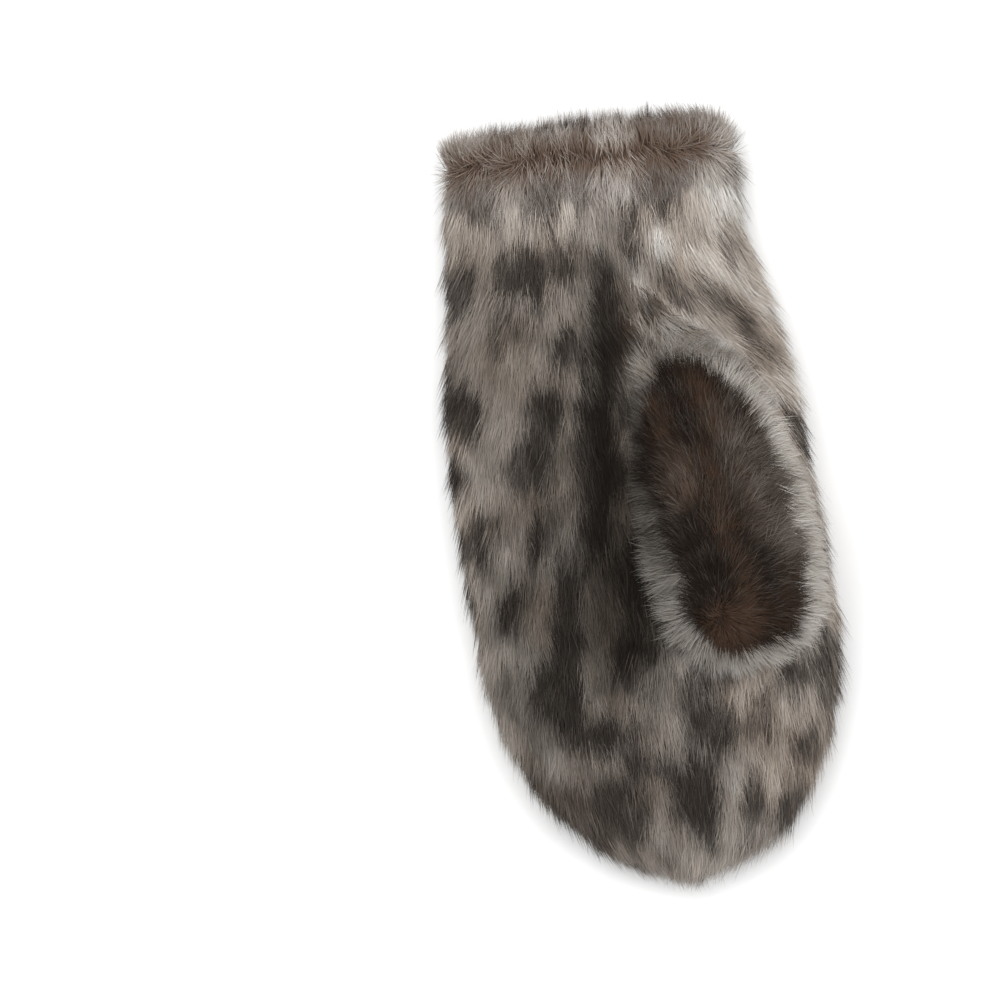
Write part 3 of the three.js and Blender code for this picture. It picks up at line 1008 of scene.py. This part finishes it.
def furMaterial(coat, roughness, gloss):
    finish, tree, shader = newMaterial(f"{coat}_fur", roughness, gloss)
    group = addNode(tree, "ShaderNodeGroup", node_tree=coatGroup)
    for socket, attribute in coatReads:
        feed(tree, group.inputs[socket], attributeOf(tree, attribute, "Fac"))
    feed(tree, group.inputs["Place"], attributeOf(tree, "rootPlace", "Vector"))
    for socket, key in coatAmounts:
        group.inputs[socket].default_value = coats[coat][key]
    for socket, key in coatColors:
        group.inputs[socket].default_value = rgba(coats[coat][key])
    tree.links.new(group.outputs["Color"], shader.inputs["Base Color"])
    return finish


def leatherMaterial():
    # Suede under the fur and inside the mitten
    finish, tree, shader = newMaterial("suede", 0.9, 0.15)
    place = addNode(tree, "ShaderNodeTexCoord").outputs["Object"]
    mottle = rangeOf(tree, noiseOf(tree, place, suede["mottle"], 4.0), 0.3, 0.7)
    nap = noiseOf(tree, place, suede["nap"], 3.0)
    color = mixColor(tree, mottle, rgba(suede["dark"]), rgba(suede["light"]))
    tree.links.new(color, shader.inputs["Base Color"])
    tree.links.new(rangeOf(tree, nap, 0.3, 0.7, 0.8, 0.95), shader.inputs["Roughness"])
    bump = addNode(tree, "ShaderNodeBump", {"Height": nap, "Strength": 0.4, "Distance": 0.0004})
    tree.links.new(bump.outputs["Normal"], shader.inputs["Normal"])
    return finish


coatGroup = makeCoatGroup()
finishes = {
    "spotted": furMaterial("spotted", 0.62, 0.05),
    "cuff": furMaterial("cuff", 0.62, 0.05),
    "fringe": furMaterial("fringe", 0.62, 0.05),
    "dark": furMaterial("dark", 0.5, 0.03),
    "suede": leatherMaterial(),
}
print("materials made")

# Fur strands, by geometry nodes
strand = {
    "heights": (0.0, 0.42, 1.0),
    "widths": (0.8, 1.0, 0.0),
    "width": 0.00028,  # metres
    "leastLift": 3.0,  # degrees
    "clumpLift": 4.0,
    "bow": 0.10,  # sideways, as a share of the length
    "roll": 0.6,  # radians about itself
    "lowestSpread": 0.0006,
}
furTreeInputs = {
    "NodeSocketFloat": {
        "Per Square Millimetre": 1.0,
        "Width": strand["width"],
        "Mark Spread": 0.005,
        "Combing Spread": 0.002,
        "Length Spread": 0.25,
        "Guard Length": 0.25,
        "Direction Spread": 7.5,
        "Swirl": 8.0,
        "Lift Spread": 9.0,
        "Clumps Per Square Centimetre": 8.0,
        "Clump Pull": 0.42,
        "Lowest": 0.0004,
        "Up Bias": 0.4,
    },
    "NodeSocketInt": {"Seed": 1},
    "NodeSocketObject": {"Strand": None},
    "NodeSocketMaterial": {"Finish": None},
}
drawSeeds = {"drawA": 62, "drawB": 63, "drawC": 64, "drawD": 65, "drawE": 66}
skinOnly = ("outward", "combed", "cover", "furLength", "lift", "upShare")  # not kept on the strands
treeOnly = ("toClump", "clumpTurn", "clumpSize", *drawSeeds, "acrossStrand")


def makeStrandForm():
    # A flat pointed strand, one unit tall. The tree bends and places each copy
    points, faces = [], []
    for height, width in zip(strand["heights"], strand["widths"]):
        if width > 0:
            points += [(-width / 2, 0, height), (width / 2, 0, height)]
        else:
            points.append((0, 0, height))
    last = len(points) - 1
    for k in range(0, last - 2, 2):
        faces.append((k, k + 1, k + 3, k + 2))
    faces.append((last - 2, last - 1, last))
    mesh = bpy.data.meshes.new("strand_form")
    mesh.from_pydata(points, [], faces)
    form = bpy.data.objects.new("strand_form", mesh)
    scene.collection.objects.link(form)
    return form, len(points)


def randomOf(tree, low, high, seed):
    return addNode(tree, "FunctionNodeRandomValue", {2: low, 3: high, 8: seed}, data_type="FLOAT").outputs[1]


def named(tree, name, kind="FLOAT"):
    node = addNode(tree, "GeometryNodeInputNamedAttribute", {"Name": name}, data_type=kind)
    return node.outputs["Attribute"]


def stored(tree, geometry, name, value, kind="FLOAT"):
    inputs = {"Geometry": geometry, "Name": name}
    node = addNode(tree, "GeometryNodeStoreNamedAttribute", inputs, data_type=kind, domain="POINT")
    feed(tree, node.inputs["Value"], value)
    return node.outputs["Geometry"]


def makeFurTree():
    tree = bpy.data.node_groups.new("fur_strands", "GeometryNodeTree")
    tree.interface.new_socket("Geometry", in_out="INPUT", socket_type="NodeSocketGeometry")
    for kind, sockets in furTreeInputs.items():
        for name, value in sockets.items():
            socket = tree.interface.new_socket(name, in_out="INPUT", socket_type=kind)
            if value is not None:
                socket.default_value = value
    tree.interface.new_socket("Geometry", in_out="OUTPUT", socket_type="NodeSocketGeometry")
    into = tree.nodes.new("NodeGroupInput").outputs
    skin = into["Geometry"]

    def times(first, second):
        return mathOf(tree, "MULTIPLY", first, second)

    def plus(first, second):
        return mathOf(tree, "ADD", first, second)

    def moved(vector, direction, amount):
        return vectorOf(tree, "ADD", vector, scaled(tree, direction, amount))

    def turned(first, second, angle):
        return moved(scaled(tree, first, mathOf(tree, "COSINE", angle)), second, mathOf(tree, "SINE", angle))

    def normalized(vector):
        return vectorOf(tree, "NORMALIZE", vector)

    def number(name):
        return named(tree, name)

    def arrow(name):
        return named(tree, name, "FLOAT_VECTOR")

    def scattered(density, seed):
        inputs = {"Mesh": skin, "Density": density, "Seed": seed}
        kind = "GeometryNodeDistributePointsOnFaces"
        return addNode(tree, kind, inputs, distribute_method="RANDOM").outputs["Points"]

    def ofClump(value, kind="FLOAT"):
        inputs = {"Geometry": clumps, "Value": value, "Index": nearest}
        node = addNode(tree, "GeometryNodeSampleIndex", inputs, data_type=kind, domain="POINT")
        return node.outputs["Value"]

    def ofSkin(name, place, kind="FLOAT"):
        inputs = {"Mesh": skin, "Value": named(tree, name, kind), "Sample Position": place}
        return addNode(tree, "GeometryNodeSampleNearestSurface", inputs, data_type=kind).outputs["Value"]

    # roots on the skin, and sparser middles of clumps
    perSquareMetre = times(into["Per Square Millimetre"], 1e6)
    points = scattered(times(perSquareMetre, number("cover")), into["Seed"])
    clumps = scattered(times(into["Clumps Per Square Centimetre"], 1e4), plus(into["Seed"], 50))
    here = addNode(tree, "GeometryNodeInputPosition").outputs[0]
    nearest = addNode(tree, "GeometryNodeSampleNearest", {"Geometry": clumps}, domain="POINT")
    nearest = nearest.outputs["Index"]
    toClump = vectorOf(tree, "SUBTRACT", ofClump(here, "FLOAT_VECTOR"), here)
    clumpTurn = ofClump(randomOf(tree, -1.0, 1.0, 71))
    clumpSize = ofClump(randomOf(tree, -1.0, 1.0, 72))
    points = stored(tree, points, "rootPlace", here, "FLOAT_VECTOR")
    points = stored(tree, points, "toClump", toClump, "FLOAT_VECTOR")
    points = stored(tree, points, "clumpTurn", clumpTurn)
    points = stored(tree, points, "clumpSize", clumpSize)
    points = stored(tree, points, "chance", randomOf(tree, 0.0, 1.0, 61))
    for name, seed in drawSeeds.items():
        points = stored(tree, points, name, randomOf(tree, -1.0, 1.0, seed))
    # the marks are read a little up or down the fur from the root, so that their edges are streaky
    readAt = moved(here, arrow("combed"), times(number("drawD"), into["Mark Spread"]))
    for name in ("tone", "warm"):
        points = stored(tree, points, name, ofSkin(name, readAt))
    readAt = moved(here, arrow("combed"), times(number("drawE"), into["Combing Spread"]))
    points = stored(tree, points, "combed", ofSkin("combed", readAt, "FLOAT_VECTOR"), "FLOAT_VECTOR")

    form = addNode(tree, "GeometryNodeObjectInfo", {"Object": into["Strand"]}, transform_space="ORIGINAL")
    inputs = {"Points": points, "Instance": form.outputs["Geometry"]}
    copies = addNode(tree, "GeometryNodeInstanceOnPoints", inputs).outputs["Instances"]
    real = addNode(tree, "GeometryNodeRealizeInstances", {"Geometry": copies}).outputs["Geometry"]

    # the strand's own two numbers: across its width and along its height
    root = arrow("rootPlace")
    local = addNode(tree, "ShaderNodeSeparateXYZ", {0: vectorOf(tree, "SUBTRACT", here, root)}).outputs
    real = stored(tree, real, "along", local["Z"])
    real = stored(tree, real, "acrossStrand", local["X"])
    across, t = number("acrossStrand"), number("along")

    # direction over the skin: combed, then turned by its clump, a slow swirl and its own chance
    normal = normalized(arrow("outward"))
    combed = arrow("combed")
    upright = scaled(tree, normal, vectorOf(tree, "DOT_PRODUCT", combed, normal))
    flat = normalized(vectorOf(tree, "SUBTRACT", combed, upright))
    beside = vectorOf(tree, "CROSS_PRODUCT", normal, flat)
    spread = times(plus(number("drawA"), number("drawB")), into["Direction Spread"])
    spread = plus(spread, times(number("clumpTurn"), into["Direction Spread"]))
    slow = noiseOf(tree, root, 45.0, 1.0)
    swirl = times(rangeOf(tree, slow, 0.3, 0.7, -1.0, 1.0, False), into["Swirl"])
    forward = turned(flat, beside, mathOf(tree, "RADIANS", plus(spread, swirl)))

    # rise and reach: steep at the root, flatter towards the tip
    lift = plus(number("lift"), times(number("drawC"), into["Lift Spread"]))
    lift = plus(lift, times(number("clumpSize"), strand["clumpLift"]))
    lift = mathOf(tree, "RADIANS", mathOf(tree, "MAXIMUM", lift, strand["leastLift"]))
    rise, reach = mathOf(tree, "SINE", lift), mathOf(tree, "COSINE", lift)
    t2 = times(t, t)
    riseAt = times(rise, mathOf(tree, "SUBTRACT", times(t, 1.5), times(t2, 0.5)))
    reachAt = times(reach, plus(times(t, 0.75), times(t2, 0.25)))
    length = times(plus(number("drawD"), times(number("clumpSize"), 0.5)), into["Length Spread"])
    guard = rangeOf(tree, number("chance"), 0.90, 1.0, 0.0, into["Guard Length"])
    length = plus(plus(length, 1.0), guard)
    length = times(length, times(number("furLength"), mm))
    path = moved(scaled(tree, forward, times(reachAt, length)), normal, times(riseAt, length))
    pull = times(mathOf(tree, "POWER", t, 1.4), into["Clump Pull"])
    path = moved(path, arrow("toClump"), pull)

    # the side that it shows to the light, a bow sideways, and its width, rolled a little about itself
    upShare = number("upShare")
    sideUp = joined(tree, Z=upShare)
    facing = vectorOf(tree, "ADD", scaled(tree, normal, mathOf(tree, "SUBTRACT", 1.0, upShare)), sideUp)
    facing = normalized(facing)
    sideways = normalized(vectorOf(tree, "CROSS_PRODUCT", forward, facing))
    bow = times(times(number("drawE"), strand["bow"]), times(t2, length))
    path = moved(path, sideways, bow)
    wide = turned(sideways, facing, times(plus(number("drawB"), number("drawE")), strand["roll"]))
    path = moved(path, wide, times(across, into["Width"]))
    place = vectorOf(tree, "ADD", root, path)
    parts = addNode(tree, "ShaderNodeSeparateXYZ", {0: place}).outputs
    lowest = plus(into["Lowest"], times(plus(number("drawA"), 1.0), strand["lowestSpread"]))
    place = joined(tree, X=parts["X"], Y=parts["Y"], Z=mathOf(tree, "MAXIMUM", parts["Z"], lowest))
    fur = addNode(tree, "GeometryNodeSetPosition", {"Geometry": real, "Position": place}).outputs["Geometry"]

    # a soft normal for the light: mostly the skin's, a little of the strand's own slant
    slant = moved(facing, forward, times(rise, 0.3))
    slant = vectorOf(tree, "ADD", slant, joined(tree, Z=into["Up Bias"]))
    slant = moved(slant, sideways, times(number("drawA"), 0.45))
    fur = stored(tree, fur, "furNormal", normalized(slant), "FLOAT_VECTOR")
    for name in treeOnly + skinOnly:
        node = addNode(tree, "GeometryNodeRemoveAttribute", {"Geometry": fur, "Name": name})
        fur = node.outputs["Geometry"]
    done = addNode(tree, "GeometryNodeSetMaterial", {"Geometry": fur, "Material": into["Finish"]})
    out = tree.nodes.new("NodeGroupOutput")
    tree.links.new(done.outputs["Geometry"], out.inputs["Geometry"])
    return tree


strandForm, strandPoints = makeStrandForm()
furTree = makeFurTree()

furs = {  # strands per square millimetre, and what else differs from piece to piece
    "palm_fur_wrist": {"Per Square Millimetre": 4.6, "Seed": 3},
    "palm_fur_fingers": {"Per Square Millimetre": 4.7, "Seed": 4},
    "back_fur_wrist": {"Per Square Millimetre": 2.1, "Seed": 5, "Width": 0.0004},
    "back_fur_fingers": {"Per Square Millimetre": 2.1, "Seed": 6, "Width": 0.0004},
    "cuff_fur": {
        "Per Square Millimetre": 5.2,
        "Seed": 7,
        "Direction Spread": 15.0,
        "Width": 0.00027,
        "Combing Spread": 0.0035,
    },
    "thumb_fur_front": {
        "Per Square Millimetre": 8.5,
        "Seed": 8,
        "Direction Spread": 20.0,
        "Length Spread": 0.3,
        "Combing Spread": 0.006,
    },
    "thumb_fur_sides": {"Per Square Millimetre": 4.3, "Seed": 9, "Direction Spread": 14.0},
}


def growFur(name, skin, finish):
    carrier = skin.copy()
    carrier.data = skin.data.copy()
    scene.collection.objects.link(carrier)
    modifier = carrier.modifiers.new("fur", "NODES")
    modifier.node_group = furTree
    sockets = [item for item in furTree.interface.items_tree if item.item_type == "SOCKET"]
    keys = {item.name: item.identifier for item in sockets if item.in_out == "INPUT"}
    wanted = dict(furs[name], Strand=strandForm, Finish=finish)
    wanted["Per Square Millimetre"] *= quickShare
    for key, value in wanted.items():
        modifier[keys[key]] = value
    carrier.update_tag()
    graph = bpy.context.evaluated_depsgraph_get()
    mesh = bpy.data.meshes.new_from_object(carrier.evaluated_get(graph))
    mesh.name = name
    bpy.data.objects.remove(carrier)
    normals = np.empty(len(mesh.vertices) * 3, np.float32)
    mesh.attributes["furNormal"].data.foreach_get("vector", normals)
    mesh.attributes.remove(mesh.attributes["furNormal"])
    mesh.shade_smooth()
    mesh.normals_split_custom_set_from_vertices(normals.reshape(-1, 3).tolist())
    layStrandMap(mesh)
    piece = bpy.data.objects.new(name, mesh)
    scene.collection.objects.link(piece)
    mesh.calc_loop_triangles()
    print(name, len(mesh.vertices) // strandPoints, "strands,", len(mesh.loop_triangles), "triangles")
    return piece


def layStrandMap(mesh):
    # Each strand has its own small cell in the map
    corner = np.empty(len(mesh.loops), np.int32)
    mesh.loops.foreach_get("vertex_index", corner)
    count = max(len(mesh.vertices) // strandPoints, 1)
    columns = max(int(math.sqrt(count * 3.0)), 1)
    rowCount = math.ceil(count / columns)
    which, point = corner // strandPoints, corner % strandPoints
    across, up = [], []
    for height, width in zip(strand["heights"], strand["widths"]):
        across += [0.5 - 0.4 * width, 0.5 + 0.4 * width] if width > 0 else [0.5]
        up += [0.08 + 0.84 * height] * (2 if width > 0 else 1)
    u = (which % columns + np.array(across)[point]) / columns
    v = (which // columns + np.array(up)[point]) / rowCount
    layer = mesh.uv_layers.new(name="OFBake")
    layer.data.foreach_set("uv", np.stack([u, v], -1).astype(np.float32).reshape(-1))


leather = {"hand": 2.0, "thumb": 1.5, "cuff": 0.6}  # thickness in millimetres


def finishSkin(skin, thickness):
    # The leather under the fur: a thin closed shell, inwards from the grid
    shell = skin.modifiers.new("leather", "SOLIDIFY")
    shell.thickness = thickness * mm
    shell.offset = -1
    graph = bpy.context.evaluated_depsgraph_get()
    mesh = bpy.data.meshes.new_from_object(skin.evaluated_get(graph))
    skin.modifiers.clear()
    old = skin.data
    skin.data = mesh
    mesh.name = old.name
    bpy.data.meshes.remove(old)
    mesh.materials.clear()
    mesh.materials.append(finishes["suede"])
    mesh.shade_smooth()


def settle(piece, slot, *nodes):
    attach(piece, "root")
    if nodes:
        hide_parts(*nodes)


for (side, part), skin in handSkins.items():
    settle(growFur(f"{side}_fur_{part}", skin, finishes["spotted"]), "spotted_fur")
settle(growFur("cuff_fur", cuffSkin, finishes["cuff"]), "cuff_fur")
settle(growFur("thumb_fur_front", thumbSkins["front"], finishes["dark"]), "dark_fur")
settle(growFur("thumb_fur_sides", thumbSkins["sides"], finishes["fringe"]), "fringe_fur")
bpy.data.objects.remove(strandForm)
print("fur grown")

for (side, part), skin in handSkins.items():
    finishSkin(skin, leather["hand"])
    settle(skin, "spotted_fur", f"{side}_panel")
finishSkin(thumbSkins["front"], leather["thumb"])
settle(thumbSkins["front"], "dark_fur", "thumb_front")
finishSkin(thumbSkins["sides"], leather["thumb"])
settle(thumbSkins["sides"], "fringe_fur", "thumb_gusset")
finishSkin(cuffSkin, leather["cuff"])
settle(cuffSkin, "cuff_fur", "cuff_edge")
print("leather under the fur finished")
